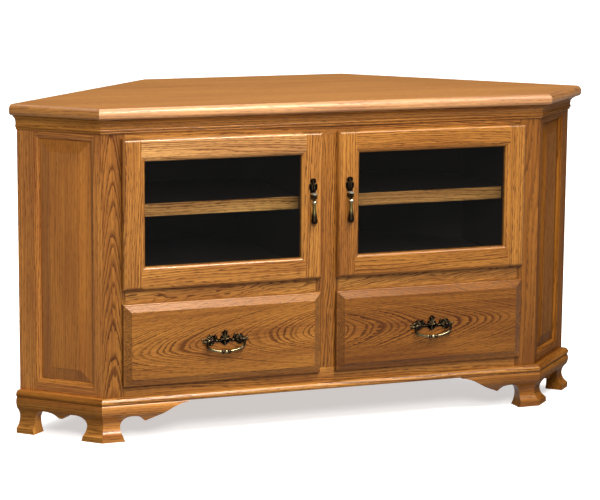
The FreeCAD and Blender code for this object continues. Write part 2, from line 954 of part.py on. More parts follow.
# Doors: coped and rebated frame, glass held by stops, cups let into the hinge stile
def make_doors():
    envelope = profile(
        "door_envelope",
        "XZ",
        [
            ("-door_out", "door_z"),
            ("-door_in", "door_z"),
            ("-door_in", "door_top"),
            ("-door_out", "door_top"),
        ],
        "door_thickness",
        "door_front",
    )
    face = value("door_front")
    near = value("door_thickness/4")
    round_edges(envelope, "door_round", lambda spot: abs(spot.y - face) < near)

    def rebated(edge, way):
        foot = "%s - %s*rebate_width" % (edge, way)
        return sticking(edge, way, "door_front", "1") + [
            (edge, "rebate_y"),
            (foot, "rebate_y"),
            (foot, "door_back"),
        ]

    hinge_stile = profile(
        "door_hinge_stile",
        "XY",
        [("-door_out", "door_front")]
        + rebated("-glass_out", "1")
        + [("-door_out + edge_relief", "door_back"), ("-door_out", "door_back - edge_relief")],
        "door_height",
        "door_z",
    )
    pull_stile = profile(
        "door_pull_stile",
        "XY",
        [("-door_in", "door_front")] + rebated("-glass_in", "-1") + [("-door_in", "door_back")],
        "door_height",
        "door_z",
    )
    hinge_heights = ("door_z + hinge_inset", "door_top - hinge_inset")
    cups = []
    arms = []
    for count, height in enumerate(hinge_heights):
        bore, cup = make_cup(count, height)
        hinge_stile = cut("door_bore_%d" % count, hinge_stile, bore)
        cups.append(cup)
        arms.append(make_arm(count, height))
    rails = []
    for name, outer, edge, way in (
        ("door_bottom_rail", "door_z", "glass_z", "1"),
        ("door_top_rail", "door_top", "glass_top", "-1"),
    ):
        rail = profile(
            name,
            "YZ",
            on_end([(outer, "door_front")] + rebated(edge, way) + [(outer, "door_back")]),
            "glass_out - glass_in + 2*stick_width",
            "-(glass_out + stick_width)",
        )
        rails.append(common(name + "_round", cut(name, rail, hinge_stile, pull_stile), envelope))
    stiles = [common(part.Name + "_round", part, envelope) for part in (hinge_stile, pull_stile)]
    keep_both("door_stiles", group("door_stiles", *stiles))
    keep_both("door_rails", group("door_rails", *rails))
    keep_both("door_hinge_cups", group("door_hinge_cups", *cups))
    keep("hinge_arms", pair("hinge_arms", group("left_hinge_arms", *arms)))

    tuck = "rebate_width - glass_clearance"
    glass = board(
        "door_glass",
        ("-(glass_out + %s)" % tuck, "glass_out - glass_in + 2*(%s)" % tuck),
        ("rebate_y", "glass_thickness"),
        ("glass_z - (%s)" % tuck, "glass_top - glass_z + 2*(%s)" % tuck),
    )
    keep_both("door_glass", glass)
    depth = ("rebate_y + glass_thickness", "door_back - rebate_y - glass_thickness")
    stops = []
    for count, left in enumerate(("-(glass_out + rebate_width)", "-glass_in")):
        rise = ("glass_z - rebate_width", "glass_top - glass_z + 2*rebate_width")
        stops.append(board("side_stop_%d" % count, (left, "rebate_width"), depth, rise))
    between = ("-glass_out", "glass_out - glass_in")
    for count, low in enumerate(("glass_z - rebate_width", "glass_top")):
        stops.append(board("cross_stop_%d" % count, between, depth, (low, "rebate_width")))
    keep_both("door_glass_stops", group("door_glass_stops", *stops))


# Concealed hinge: an open cup with its pin in the door, a cranked arm on the frame's edge
def make_cup(count, height):
    floor = "door_back - cup_depth"
    bore = rod("hinge_bore_%d" % count, "Y", "cup_radius", "cup_depth", ("cup_x", floor, height))
    hollow = rod(
        "hinge_hollow_%d" % count,
        "Y",
        "cup_radius - cup_wall",
        "cup_depth",
        ("cup_x", floor + " + cup_wall", height),
    )
    half = "sqrt((cup_radius - cup_wall/2)^2 - (cup_x - hinge_x)^2)"
    pin = rod(
        "hinge_pin_%d" % count,
        "Z",
        "hinge_pin",
        "2*" + half,
        ("hinge_x", "hinge_y", "%s - %s" % (height, half)),
    )
    cup = fuse("hinge_cup_%d" % count, cut("hinge_shell_%d" % count, bore, hollow), pin)
    return bore, cup


def make_arm(count, height):
    half = "arm_thickness/2"
    leg = "hinge_x + arm_reach"
    turn = "arm_set_back"
    edge = "-opening_out"
    end = "frame_thickness - arm_end"
    low = "%s - arm_width/2" % height
    strip = profile(
        "hinge_strip_%d" % count,
        "XY",
        [
            ("hinge_x", "hinge_y - " + half),
            (leg + " + " + half, "hinge_y - " + half),
            (leg + " + " + half, turn + " + " + half),
            (edge + " + arm_thickness", turn + " + " + half),
            (edge + " + arm_thickness", end),
            (edge, end),
            (edge, turn + " - " + half),
            (leg + " - " + half, turn + " - " + half),
            (leg + " - " + half, "hinge_y + " + half),
            ("hinge_x", "hinge_y + " + half),
        ],
        "arm_width",
        low,
    )
    plate = board(
        "hinge_plate_%d" % count,
        (edge, "arm_thickness"),
        (turn + " - " + half, "%s - %s + %s" % (end, turn, half)),
        (height + " - arm_plate/2", "arm_plate"),
    )
    spot = ("hinge_x", "hinge_y", low)
    eye = rod("hinge_eye_%d" % count, "Z", "eye_radius", "arm_width", spot)
    hole = rod("hinge_hole_%d" % count, "Z", "hinge_pin + hinge_play", "arm_width", spot)
    return cut("hinge_arm_%d" % count, fuse("hinge_arm_%d" % count, strip, plate, eye), hole)


# Drawers: bevelled front on a box, the bottom let into its boards
def make_drawers():
    back = "door_back"
    edge = "door_back - front_edge"

    def inset(amount):
        return (
            "-door_out + " + amount,
            "-door_in - " + amount,
            "drawer_z + " + amount,
            "drawer_top - " + amount,
        )

    left, right, low, high = inset("0")
    corners = [(left, low), (right, low), (right, high), (left, high)]
    slab = profile("drawer_slab", "XZ", corners, "front_edge", edge)
    face = value(edge)
    near = value("front_edge/4")
    round_edges(slab, "front_round", lambda spot: abs(spot.y - face) < near)
    slope_top = "door_front + field_step"
    bevel = "(front_round + front_bevel)"
    slope = bevelled("drawer_slope", (slope_top,) + inset(bevel), (edge,) + inset("front_round"))
    field = bevelled("drawer_field", ("door_front",) + inset(bevel), (slope_top,) + inset(bevel))
    keep_both("drawer_front", fuse("drawer_front", slab, slope, field))

    rise = ("box_z", "box_height")
    depth = (back, "box_depth - " + back)
    between = ("-box_out + box_side", "box_out - box_in - 2*box_side")
    boards = [
        board("box_left", ("-box_out", "box_side"), depth, rise),
        board("box_right", ("-box_in - box_side", "box_side"), depth, rise),
        board("box_front", between, (back, "box_side"), rise),
        board("box_back", between, ("box_depth - box_side", "box_side"), rise),
    ]
    let_in = "box_side/2"
    bottom = board(
        "box_bottom",
        ("-box_out + " + let_in, "box_out - box_in - box_side"),
        (back + " + " + let_in, "box_depth - %s - box_side" % back),
        ("box_z + bottom_lift", "box_bottom"),
    )
    keep_both("drawer_box", group("drawer_box", *[cut(part.Name, part, bottom) for part in boards]))
    keep_both("drawer_bottom", bottom)


# Ball slides: three nested channels each side of a drawer, the outer one on a spacer
def make_slides():
    def channel(name, web, lip, half_height, opening):
        inner = half_height + " - slide_sheet"
        step = "%s + %s*slide_sheet" % (web, opening)
        return profile(
            name,
            "XZ",
            [
                (web, "slide_z - (%s)" % half_height),
                (lip, "slide_z - (%s)" % half_height),
                (lip, "slide_z - (%s)" % inner),
                (step, "slide_z - (%s)" % inner),
                (step, "slide_z + (%s)" % inner),
                (lip, "slide_z + (%s)" % inner),
                (lip, "slide_z + (%s)" % half_height),
                (web, "slide_z + (%s)" % half_height),
            ],
            "slide_length",
            "slide_y",
        )

    nest = "(slide_sheet + slide_gap)"
    wall = "-opening_out"
    drawer = "-box_out"
    outer = channel("cabinet_member", wall, drawer + " - " + nest, "slide_half_height", "1")
    middle = channel(
        "intermediate_member",
        "%s + %s" % (wall, nest),
        drawer + " - " + nest,
        "slide_half_height - " + nest,
        "1",
    )
    inner = channel(
        "drawer_member",
        drawer,
        "%s + 2*%s" % (wall, nest),
        "slide_half_height - 2*" + nest,
        "-1",
    )
    cabinet = pair("cabinet_members", outer, "pull_x")
    keep("slide_cabinet_members", pair("slide_cabinet_members", cabinet))
    keep_both("slide_intermediates", pair("intermediate_members", middle, "pull_x"))
    keep_both("drawer_slide_members", pair("drawer_members", inner, "pull_x"))
    spacer = board(
        "slide_spacer",
        ("-bay_out", "bay_set_back"),
        ("frame_thickness", "slide_set_back + slide_length"),
        ("slide_z - spacer_height/2", "spacer_height"),
    )
    keep("slide_spacers", pair("slide_spacers", spacer))


# Batwing pulls: sawn plate, two turned posts, a bail with beads at its middle
def both_halves(shares, across, up):
    """A whole outline from half of it, from its top middle down the right and up the left."""
    half = [tuple("%s*%s" % (share, size) for share, size in zip(c, (across, up) * 2)) for c in shares]
    whole = list(half)
    ends = [corner[-2:] for corner in half]
    for index in range(len(half) - 1, 0, -1):
        x, z = ends[index - 1]
        if len(half[index]) == 4:
            whole.append(("-" + half[index][0], half[index][1], "-" + x, z))
        else:
            whole.append(("-" + x, z))
    if ends[-1][0].startswith("0*"):
        return whole[:-1] if len(whole[-1]) == 2 else whole[1:]
    x, z = ends[-1]
    whole.insert(len(half), ("-" + x, z))
    return whole[:-1] if len(whole[-1]) == 2 else whole[1:]


def make_drawer_pulls():
    spot = ("pull_x", "0", "pull_z")
    plate = profile(
        "batwing",
        "XZ",
        both_halves(batwing_shares, "pull_width/2", "pull_height"),
        "plate_thickness",
        "plate_y",
        spot=spot,
    )
    reach = "(post_reach - plate_thickness)"
    ball_foot = "-%s + sqrt(post_head^2 - post_stem^2)" % reach
    post = turned(
        "pull_post",
        "XY",
        [
            ("0", "0"),
            ("post_head", "0"),
            ("post_head", "-post_foot"),
            ("post_stem", "-post_foot"),
            ("post_stem", ball_foot),
            ("post_head", "-" + reach, "0", "-%s - post_head" % reach),
        ],
        "V_Axis",
        ("pull_x - post_half", "plate_y", "pull_z"),
    )
    stub_end = "(post_half + post_head - bail_entry)"
    hole = rod(
        "post_hole",
        "X",
        "bail_radius + pull_play",
        "post_head",
        ("pull_x - %s - post_head" % stub_end, "post_y", "pull_z"),
    )
    drilled = cut("pull_post", post, hole)
    posts = pair("pull_posts", drilled, "pull_x")
    keep_both("drawer_pull_plate", group("pull_plate", plate, posts))
    keep_both("drawer_bail", make_bail(stub_end))


def make_bail(stub_end):
    bend = "bail_bend"
    straight = "bail_half - " + bend
    arc_share = "(1 - sqrt(2)/2)"
    arm_end = "-(%s + bail_arm)" % bend
    bar = [
        ("-" + stub_end, "0"),
        ("-(%s)" % straight, "0"),
        (
            "-(bail_half - %s*%s)" % (bend, arc_share),
            "-%s*%s" % (bend, arc_share),
            "-bail_half",
            "-" + bend,
        ),
        ("-bail_half", arm_end),
        (
            "-(bail_inner + bail_corner*cos(bail_turn))",
            arm_end + " - bail_corner*sin(bail_turn)",
            "-bail_join",
            "-bail_join_drop",
        ),
        ("0", "-bail_drop", "bail_join", "-bail_join_drop"),
        (
            "bail_inner + bail_corner*cos(bail_turn)",
            arm_end + " - bail_corner*sin(bail_turn)",
            "bail_half",
            arm_end,
        ),
        ("bail_half", "-" + bend),
        (
            "bail_half - %s*%s" % (bend, arc_share),
            "-%s*%s" % (bend, arc_share),
            straight,
            "0",
        ),
        (stub_end, "0"),
    ]
    body = doc.addObject("PartDesign::Body", "bail")
    path = add_sketch(body, "XZ", bar, closed=False)
    wire = add_sketch(
        body,
        "YZ",
        [("0", "bail_radius", "-bail_radius", "0"), ("0", "-bail_radius", "bail_radius", "0")],
        "-" + stub_end,
    )
    bent = body.newObject("PartDesign::AdditivePipe", "bail_bar")
    bent.Profile = wire
    bent.Spine = path
    settle(body, "front", ("pull_x", "post_y", "pull_z"))
    waist = "bail_radius"
    third = "bead_length/3"
    outline = [("-bead_length/2", "0"), ("-bead_length/2", waist)]
    for count in range(3):
        start = "-bead_length/2 + %d*%s" % (count, third)
        outline.append((start + " + %s/2" % third, "bead_radius", "%s + %s" % (start, third), waist))
    outline.append(("bead_length/2", "0"))
    beads = turned("bail_beads", "XY", outline, "H_Axis", ("pull_x", "post_y", "pull_z - bail_drop"))
    return fuse("bail_whole", body, beads)


# Drop pulls: spade plate with two ears and a canopy, a turned drop on a pin between the ears
def make_door_pulls():
    bottom = "drop_top - drop_plate_height"
    plate = profile(
        "spade",
        "XZ",
        both_halves(spade_shares, "drop_plate_width/2", "drop_plate_height"),
        "plate_thickness",
        "plate_y",
        spot=("drop_x", "0", bottom),
    )
    ear_in = "drop_eye_width/2 + ear_gap"
    ear_reach = "drop_reach + drop_eye/2"
    ears = []
    for count, left in enumerate(("drop_x - (%s) - ear_thickness" % ear_in, "drop_x + " + ear_in)):
        ears.append(
            board(
                "ear_%d" % count,
                (left, "ear_thickness"),
                ("plate_y - (%s)" % ear_reach, ear_reach),
                ("drop_z - drop_eye", "drop_eye + canopy_lift"),
            )
        )
    canopy = profile(
        "canopy",
        "XY",
        [
            ("-canopy_radius", "0"),
            ("-canopy_radius", "-drop_reach"),
            ("0", "-drop_reach - canopy_radius", "canopy_radius", "-drop_reach"),
            ("canopy_radius", "0"),
        ],
        "canopy_height",
        spot=("drop_x", "plate_y", "drop_z + canopy_lift"),
    )
    span = "2*(%s + ear_thickness)" % ear_in
    pin = rod("drop_pin", "X", "drop_pin", span, ("drop_x - (%s)/2" % span, "drop_y", "drop_z"))
    keep_both("door_pull_plate", fuse("door_pull_plate", plate, canopy, pin, *ears))

    outline = [("0", plus("0", "drop_length", drop_shares[0][1]))]
    for corner in drop_shares:
        steps = []
        for out, up in zip(corner[0::2], corner[1::2]):
            steps += ["%s*drop_radius" % out, "%s*drop_length" % up]
        outline.append(tuple(steps))
    bulb = "-(drop_length - drop_radius)"
    outline.append(("drop_radius", bulb))
    outline.append(("drop_radius*slant_share", bulb + " - drop_radius*slant_share", "0", "-drop_length"))
    shank = turned("drop_shank", "XZ", outline, "V_Axis", ("drop_x", "drop_y", "drop_z"))
    middle = ("drop_x - drop_eye_width/2", "drop_y", "drop_z")
    eye = rod("drop_eye", "X", "drop_eye", "drop_eye_width", middle)
    hole = rod("drop_hole", "X", "drop_pin + pull_play", "drop_eye_width", middle)
    keep_both("door_drop", cut("door_drop", fuse("door_drop", shank, eye), hole))


make_top()
make_mouldings()
make_front_brackets()
make_side_brackets()
make_rear_feet()
make_face_frame()
make_ends()
make_carcass()
make_bays()
make_doors()
make_drawers()
make_slides()
make_drawer_pulls()
make_door_pulls()
doc.recompute()

# Every object and every sub-part's shape is sound before anything is written
faults = [thing.Name for thing in doc.Objects if "Invalid" in thing.State or "Error" in thing.State]
for label, thing in nodes.items():
    if thing.Shape.isNull() or not thing.Shape.isValid() or not thing.Shape.Solids:
        faults.append(label)
if faults:
    raise RuntimeError("unsound: " + ", ".join(faults))

os.makedirs("parts", exist_ok=True)
for label, thing in nodes.items():
    thing.Shape.exportStep("parts/%s.step" % label)
    print(label, len(thing.Shape.Solids), "solids", round(thing.Shape.Volume), "mm3")
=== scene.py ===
# Corner television cabinet in red oak: a finish for every solid, softened shelf edgings, cast ornament on
# the brass pulls, and a studio round it
import json
import math
import bmesh
import bpy
from mathutils import Matrix, Vector


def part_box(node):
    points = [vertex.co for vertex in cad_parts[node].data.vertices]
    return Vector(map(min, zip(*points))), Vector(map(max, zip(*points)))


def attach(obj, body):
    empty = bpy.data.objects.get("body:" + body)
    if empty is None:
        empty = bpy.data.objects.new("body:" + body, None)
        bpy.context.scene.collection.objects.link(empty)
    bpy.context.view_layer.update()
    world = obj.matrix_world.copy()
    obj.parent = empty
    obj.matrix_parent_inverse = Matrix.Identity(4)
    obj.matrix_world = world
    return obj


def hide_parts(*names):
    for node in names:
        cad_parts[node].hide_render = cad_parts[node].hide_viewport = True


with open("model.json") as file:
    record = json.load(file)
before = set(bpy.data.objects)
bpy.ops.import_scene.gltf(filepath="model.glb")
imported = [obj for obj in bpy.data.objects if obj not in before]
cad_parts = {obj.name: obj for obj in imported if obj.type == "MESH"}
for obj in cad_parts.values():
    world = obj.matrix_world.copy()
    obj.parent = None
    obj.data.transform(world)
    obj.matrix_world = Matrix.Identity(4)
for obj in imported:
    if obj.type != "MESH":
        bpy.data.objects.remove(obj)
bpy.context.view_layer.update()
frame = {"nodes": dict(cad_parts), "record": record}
cadNodes = frame["nodes"]
record = frame["record"]
bodyOf = {node: body for body, members in record["behaviour"]["bodies"].items() for node in members}
slotOf = {part["node"]: part["material_slot"] for part in record["subparts"]}
mm = 0.001

# directions of the cabinet: its front, and its ends at 45 degrees
rightward = Vector((1, 0, 0))
backward = Vector((0, 1, 0))
upward = Vector((0, 0, 1))
frontOut = -backward
leftAlong = Vector((-1, 1, 0)).normalized()  # along the left end, from the front corner
leftOut = Vector((-1, -1, 0)).normalized()
rightAlong = Vector((1, 1, 0)).normalized()
rightOut = Vector((1, -1, 0)).normalized()


def tone(hexColour):
    parts = [int(hexColour[i:i + 2], 16) / 255 for i in (1, 3, 5)]
    return [p / 12.92 if p <= 0.04045 else ((p + 0.055) / 1.055) ** 2.4 for p in parts] + [1]


# inputs go by socket name or number: MapRange takes 1 to 2 and gives 3 to 4, a colour Mix blends 6 and 7
def addNode(tree, kind, inputs, **settings):
    node = tree.nodes.new("ShaderNode" + kind)
    for name, setting in settings.items():
        setattr(node, name, setting)
    for socket, source in inputs.items():
        if isinstance(source, bpy.types.NodeSocket):
            tree.links.new(source, node.inputs[socket])
        else:
            node.inputs[socket].default_value = source
    return node


def startMaterial(name):
    material = bpy.data.materials.new(name)
    material.use_nodes = True
    material.node_tree.nodes.clear()
    return material, material.node_tree


def finishMaterial(tree, inputs):
    shader = addNode(tree, "BsdfPrincipled", inputs)
    addNode(tree, "OutputMaterial", {"Surface": shader.outputs[0]})


# red oak, planed and lacquered: honey ground, dark bands of open pores that arch where a board is cut flat
oak = {
    "pale": "#C08239",
    "deep": "#8C5523",
    "band": "#5E2E08",
    "pore": "#4C2606",
    "poreWidth": 2.6,  # mm, real pores are 0.3 and would not show
    "poreLength": 20,
    "poreDepth": 0.4,
    "poreBump": 0.25,  # strength of the hollows
    "fibreWidth": 5.0,  # coarser than real fibre, so that it shows
    "fibreLength": 220,
    "cloudWidth": 70,  # slow changes of tone
    "cloudLength": 420,
    "unevenYears": 1.6,  # how far the years differ in width
    "widthChange": 0.45,  # changes of width per year
    "strengthChange": 0.21,  # changes of a band's strength per year
    "feather": 0.6,  # how far the pores fray the edge of a band
    "bold": 1.0,  # strength of a band where the board lies flat to the rings
    "fine": 0.8,  # and where it cuts across them
    "pores": 0.85,
    "endGrain": 0.6,  # share of the tone left on a cut end
    "roughness": 0.28,
    "poreRoughness": 0.2,  # added in the pores
    "specular": 0.4,
    "sheen": "#FFDCC0",  # the lacquer warms what it mirrors
    "coat": 0.2,
    "coatRoughness": 0.12,
}
calmOak = {**oak, "bold": 0.4, "fine": 0.4, "pores": 0.6}  # faint bands
shadyOak = {**calmOak, "specular": 0.01, "coat": 0.0}  # calm, and turned from the light
archedOak = {**oak, "fine": 0.3, "pores": 0.75}  # bands near the heart only
# a paler stain, used for the left door's top rail as a painted highlight
paleHighlitOak = {**oak, "pale": "#C08A4C", "deep": "#8C5B31"}
ruddyOak = {**oak, "pale": "#C07D34", "deep": "#8E5122", "fine": 0.6, "pores": 0.7}
matRuddyOak = {**ruddyOak, "bold": 0.4, "fine": 0.3, "pores": 0.5, "specular": 0.05, "coat": 0.0}
panelOak = {**ruddyOak, "deep": "#A0622A", "bold": 0.25, "fine": 0.25, "pores": 0.4}
topOak = {  # pale, even veneer
    **oak,
    "pale": "#BB8854",
    "deep": "#AB7A4D",
    "bold": 0.15,
    "fine": 0.15,
    "pores": 0.3,
    "specular": 0.0,  # no glare on the top from behind
    "coat": 0.0,
}
noseOak = {  # rounded edge, polished by hands
    **oak,
    "bold": 0.4,
    "fine": 0.3,
    "pores": 0.5,
    "endGrain": 0.85,
    "roughness": 0.5,
    "specular": 1.0,
    "coat": 0.15,
}
# the front edging is paler than the ends' edgings: partly a paler board, partly a painted highlight along
# the nose
paleHighlitNoseOak = {**noseOak, "pale": "#C28A52", "deep": "#905C38"}
stains = {  # the other pieces are plain oak
    "top_panel": paleHighlitNoseOak,
    "left_end_panel": panelOak,
    "left_end_stiles": ruddyOak,
    "left_end_rails": ruddyOak,
    "right_end_panel": shadyOak,
    "right_end_stiles": shadyOak,
    "right_end_rails": shadyOak,
    "crown_moulding_sides": matRuddyOak,
    "base_moulding_sides": matRuddyOak,
    "side_brackets": matRuddyOak,
    "front_brackets": ruddyOak,
    "left_drawer_front": archedOak,
    "right_drawer_front": archedOak,
}
tintPowers = (1, 1.3, 1.8)  # a darker tint is redder too, for a darker board and for painted shade alike

# how a board lies in the log: heart is (across, behind) from the board's middle to the log's heart in mm,
# ring is the width of a year in mm, taper is how the rings rise along the board, sway how far they wander
# aside and over what length in mm
cuts = {
    "arched": {"heart": (2, 42), "ring": 2.8, "taper": -0.14, "sway": (20, 420)},
    "arching": {"heart": (-4, 42), "ring": 3.2, "taper": 0.14, "sway": (20, 420)},
    "pointed": {"heart": (2, 10), "ring": 5.0, "taper": 0.1, "sway": (18, 300)},
    "flame": {"heart": (-18, 20), "ring": 3.8, "taper": 0.06, "sway": (46, 170)},
    "wavy": {"heart": (60, 40), "ring": 5.2, "taper": 0.03, "sway": (34, 300)},
    "rift": {"heart": (700, 300), "ring": 5.6, "taper": 0.02, "sway": (30, 420)},
    "veneer": {"heart": (700, 600), "ring": 3.4, "taper": 0.012, "sway": (24, 420)},
}
logStep = 0.731  # m along the log from one board's seed to the next


def makeOak(name, along, facing, centre, cut, seed, tint, stain, folded):
    material, tree = startMaterial(name)
    lie = cuts[cut]
    turn = Matrix((along, facing.cross(along), facing))
    heartAside, heartBehind = lie["heart"]
    shift = Vector((seed * logStep, heartAside * mm, heartBehind * mm)) - turn @ centre
    here = addNode(tree, "TexCoord", {}).outputs
    place = here["Object"]
    if folded:  # the left end takes the right end's grain, folded over at the middle
        parts = addNode(tree, "SeparateXYZ", {0: place}).outputs
        unsigned = addNode(tree, "Math", {0: parts[0]}, operation="ABSOLUTE").outputs[0]
        place = addNode(tree, "CombineXYZ", {0: unsigned, 1: parts[1], 2: parts[2]}).outputs[0]
    plank = addNode(tree, "Mapping", {0: place, 1: shift, 2: turn.to_euler()}).outputs[0]

    def shadeOf(part):
        return [share * tint ** power for share, power in zip(tone(stain[part]), tintPowers)] + [1]

    def streak(length, width, **inputs):
        cells = Vector((1 / (length * mm), 1 / (width * mm), 1 / (width * mm)))
        stretched = addNode(tree, "VectorMath", {0: plank, 1: cells}, operation="MULTIPLY").outputs[0]
        return addNode(tree, "TexNoise", {"Vector": stretched, "Scale": 1.0, **inputs})

    # growth rings round the heart, rising along the board
    wander, swayLength = lie["sway"]
    sway = streak(swayLength, swayLength / 5, Detail=2.0, Roughness=0.45).outputs["Color"]
    reach = Vector((0, wander * mm, wander * mm))
    sway = addNode(tree, "VectorMath", {0: sway, 1: (0.5, 0.5, 0.5)}, operation="SUBTRACT").outputs[0]
    bent = addNode(tree, "VectorMath", {0: sway, 1: reach, 2: plank}, operation="MULTIPLY_ADD").outputs[0]
    aside = addNode(tree, "VectorMath", {0: bent, 1: (0, 1, 1)}, operation="MULTIPLY").outputs[0]
    radius = addNode(tree, "VectorMath", {0: aside}, operation="LENGTH").outputs["Value"]
    run = addNode(tree, "SeparateXYZ", {0: bent}).outputs[0]
    risen = addNode(tree, "Math", {0: run, 1: lie["taper"], 2: radius}, operation="MULTIPLY_ADD").outputs[0]
    rings = addNode(tree, "Math", {0: risen, 1: lie["ring"] * mm}, operation="DIVIDE").outputs[0]

    # years of uneven width, frayed by the pores; a band starts sharply and fades through the year
    pace = {"W": rings, "Scale": stain["widthChange"]}
    years = addNode(tree, "TexNoise", pace, noise_dimensions="1D").outputs[0]
    spread = {0: years, 1: stain["unevenYears"], 2: rings}
    uneven = addNode(tree, "Math", spread, operation="MULTIPLY_ADD").outputs[0]
    dashes = streak(stain["poreLength"], stain["poreWidth"], Detail=1.0).outputs[0]
    fray = {0: dashes, 1: stain["feather"], 2: uneven}
    frayed = addNode(tree, "Math", fray, operation="MULTIPLY_ADD").outputs[0]
    phase = addNode(tree, "Math", {0: frayed}, operation="FRACT").outputs[0]
    soft = {"interpolation_type": "SMOOTHSTEP"}
    fading = addNode(tree, "MapRange", {0: phase, 1: 0.05, 2: 0.5, 3: 1.0, 4: 0.0}, **soft).outputs[0]
    rising = addNode(tree, "MapRange", {0: phase, 1: 0.92, 2: 1.0, 3: 0.0, 4: 1.0}, **soft).outputs[0]
    band = addNode(tree, "Math", {0: fading, 1: rising}, operation="MAXIMUM").outputs[0]

    # pores as short dashes, thickest in the bands
    opened = addNode(tree, "MapRange", {0: dashes, 1: 0.48, 2: 0.66}).outputs[0]
    share = addNode(tree, "MapRange", {0: band, 3: 0.35, 4: 1.0}).outputs[0]
    pores = addNode(tree, "Math", {0: opened, 1: share}, operation="MULTIPLY").outputs[0]

    # ground of fibre and slow changes of tone
    fibre = streak(stain["fibreLength"], stain["fibreWidth"], Detail=3.0).outputs[0]
    cloud = streak(stain["cloudLength"], stain["cloudWidth"], Detail=1.0).outputs[0]
    mixed = addNode(tree, "Math", {0: fibre, 1: cloud}, operation="ADD").outputs[0]
    shade = addNode(tree, "MapRange", {0: mixed, 1: 0.72, 2: 1.30}).outputs[0]
    colour = {"data_type": "RGBA"}
    ground = addNode(tree, "Mix", {0: shade, 6: shadeOf("pale"), 7: shadeOf("deep")}, **colour).outputs[2]

    # bands change strength from year to year, and where the board cuts across the rings
    offset = addNode(tree, "SeparateXYZ", {0: aside}).outputs[1]
    steep = addNode(tree, "Math", {0: offset, 1: radius}, operation="DIVIDE").outputs[0]
    steep = addNode(tree, "Math", {0: steep}, operation="ABSOLUTE").outputs[0]
    crossing = {0: steep, 1: 0.6, 2: 0.95, 3: stain["bold"], 4: stain["fine"]}
    strong = addNode(tree, "MapRange", crossing).outputs[0]
    pace = {"W": rings, "Scale": stain["strengthChange"]}
    seasons = addNode(tree, "TexNoise", pace, noise_dimensions="1D").outputs[0]
    heavy = addNode(tree, "MapRange", {0: seasons, 1: 0.34, 2: 0.56, 3: 0.4, 4: 1.0}).outputs[0]
    strong = addNode(tree, "Math", {0: strong, 1: heavy}, operation="MULTIPLY").outputs[0]
    bandShare = addNode(tree, "Math", {0: band, 1: strong}, operation="MULTIPLY").outputs[0]
    lined = addNode(tree, "Mix", {0: bandShare, 6: ground, 7: shadeOf("band")}, **colour).outputs[2]
    poreShare = addNode(tree, "Math", {0: pores, 1: stain["pores"]}, operation="MULTIPLY").outputs[0]
    wood = addNode(tree, "Mix", {0: poreShare, 6: lined, 7: shadeOf("pore")}, **colour).outputs[2]

    # cut ends drink the stain and turn darker
    endOn = addNode(tree, "VectorMath", {0: here["Normal"], 1: along}, operation="DOT_PRODUCT")
    across = addNode(tree, "Math", {0: endOn.outputs["Value"]}, operation="ABSOLUTE").outputs[0]
    drunk = addNode(tree, "MapRange", {0: across, 1: 0.1, 2: 0.7, 3: 1.0, 4: stain["endGrain"]}).outputs[0]
    wood = addNode(tree, "VectorMath", {0: wood, "Scale": drunk}, operation="SCALE").outputs[0]

    openRough = stain["roughness"] + stain["poreRoughness"]
    rough = addNode(tree, "MapRange", {0: pores, 3: stain["roughness"], 4: openRough}).outputs[0]
    hollow = {"Height": pores, "Strength": stain["poreBump"], "Distance": stain["poreDepth"] * mm}
    relief = addNode(tree, "Bump", hollow, invert=True).outputs[0]
    finishMaterial(tree, {
        "Base Color": wood,
        "Roughness": rough,
        "Normal": relief,
        "Specular IOR Level": stain["specular"],
        "Specular Tint": tone(stain["sheen"]),
        "Coat Weight": stain["coat"],
        "Coat Roughness": stain["coatRoughness"],
    })
    return material


# finishes with a fibre between two tones: its size along x, y and z in mm, coarse enough to show
shadeDarkBoard = {  # board inside the bays, painted almost black: painted shade standing in for the dark inside the bays, with a faint fibre
    "fibre": (16.67, 16.67, 2.5),
    "detail": 3.0,
    "tones": ("#17120D", "#221A13"),
    "roughness": (0.5, 0.7),
    "metallic": 0.0,
}
drawerWood = {  # birch ply and poplar of the drawer boxes: pale, close grained, matt
    "fibre": (71.43, 125, 3.846),
    "detail": 4.0,
    "tones": ("#D9BC8C", "#C19B66"),
    "roughness": (0.45, 0.6),
    "metallic": 0.0,
}
zincPlate = {  # plated steel of hinges, slides and shelf pins: cool grey, drawn from front to back
    "fibre": (3.333, 33.33, 3.333),
    "detail": 3.0,
    "tones": ("#B4B6B6", "#8F9294"),
    "roughness": (0.26, 0.42),
    "metallic": 1.0,
}


def makeFibred(name, finish):
    material, tree = startMaterial(name)
    place = addNode(tree, "TexCoord", {}).outputs["Object"]
    cells = [1 / (size * mm) for size in finish["fibre"]]
    drawn = addNode(tree, "VectorMath", {0: place, 1: cells}, operation="MULTIPLY").outputs[0]
    noise = {"Vector": drawn, "Scale": 1.0, "Detail": finish["detail"]}
    fibre = addNode(tree, "TexNoise", noise).outputs[0]
    first, second = finish["tones"]
    colour = addNode(tree, "Mix", {0: fibre, 6: tone(first), 7: tone(second)}, data_type="RGBA").outputs[2]
    smoothest, roughest = finish["roughness"]
    rough = addNode(tree, "MapRange", {0: fibre, 3: smoothest, 4: roughest}).outputs[0]
    finishMaterial(tree, {"Base Color": colour, "Roughness": rough, "Metallic": finish["metallic"]})
    return material


# clear float glass, slightly grey against the dark inside, with a faint smear
floatGlass = {
    "tone": "#0C0B09",
    "alpha": 0.16,
    "ior": 1.5,
    "smear": 111,  # mm
    "roughness": (0.02, 0.06),
}


